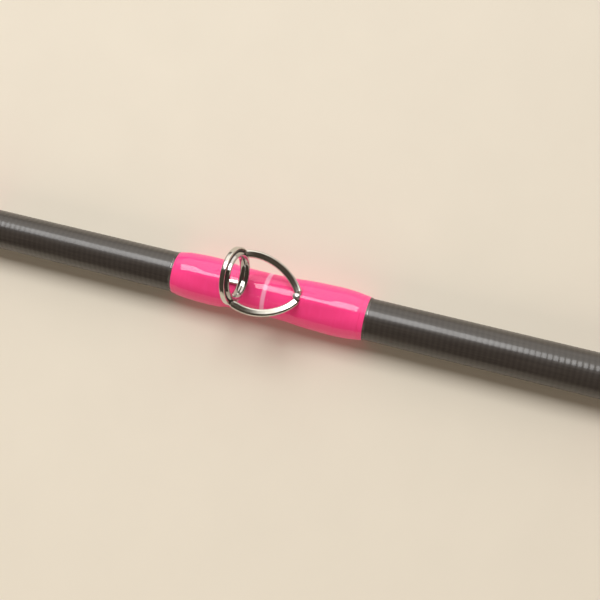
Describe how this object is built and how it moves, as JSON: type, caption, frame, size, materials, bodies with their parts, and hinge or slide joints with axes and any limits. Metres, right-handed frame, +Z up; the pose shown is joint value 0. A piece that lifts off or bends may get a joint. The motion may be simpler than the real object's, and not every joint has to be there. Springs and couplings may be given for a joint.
{
  "type": "fishing rod section with line guide",
  "caption": "Slender hollow rod section with a socket at one end, a spigot at the other, and a polished ring guide bound on with bright pink thread under clear resin.",
  "frame": {"origin": "centre of the socket's mouth, on the rod's axis", "axes": "+X out of the socket towards the rod's butt, +Z up through the line guide, +Y across the rod"},
  "size_m": [0.256, 0.0154, 0.0262],
  "materials": {
    "carbon": "dark warm-grey carbon laminate under a thin clear coat, with fine tape-wrap ridges",
    "spigot_carbon": "ground carbon rod, satin",
    "adhesive": "cured amber adhesive",
    "plug_rubber": "soft black plug",
    "pink_thread": "hot-pink nylon thread, tightly wound",
    "clear_resin": "thick clear high-gloss resin",
    "polished_steel": "mirror-polished stainless steel",
    "braze_metal": "smooth silver braze",
    "cushion_plastic": "thin dark plastic ring",
    "ring_steel": "hard mirror-polished ring"
  },
  "bodies": {
    "root": {"blank_tube": "carbon", "ferrule_spigot": "spigot_carbon", "spigot_bond": "adhesive", "spigot_plug": "plug_rubber", "tip_end_whipping": "pink_thread", "tip_end_coat": "clear_resin", "socket_end_whipping": "pink_thread", "socket_end_coat": "clear_resin", "guide_underwrap": "pink_thread", "front_foot_whipping": "pink_thread", "rear_foot_whipping": "pink_thread", "front_foot_cement": "adhesive", "rear_foot_cement": "adhesive", "guide_coat": "clear_resin", "guide_frame": "polished_steel", "guide_front_leg": "polished_steel", "guide_rear_foot": "polished_steel", "arm_weld": "braze_metal", "leg_braze": "braze_metal", "ring_cushion": "cushion_plastic", "ring_insert": "ring_steel"}
  },
  "joints": []
}
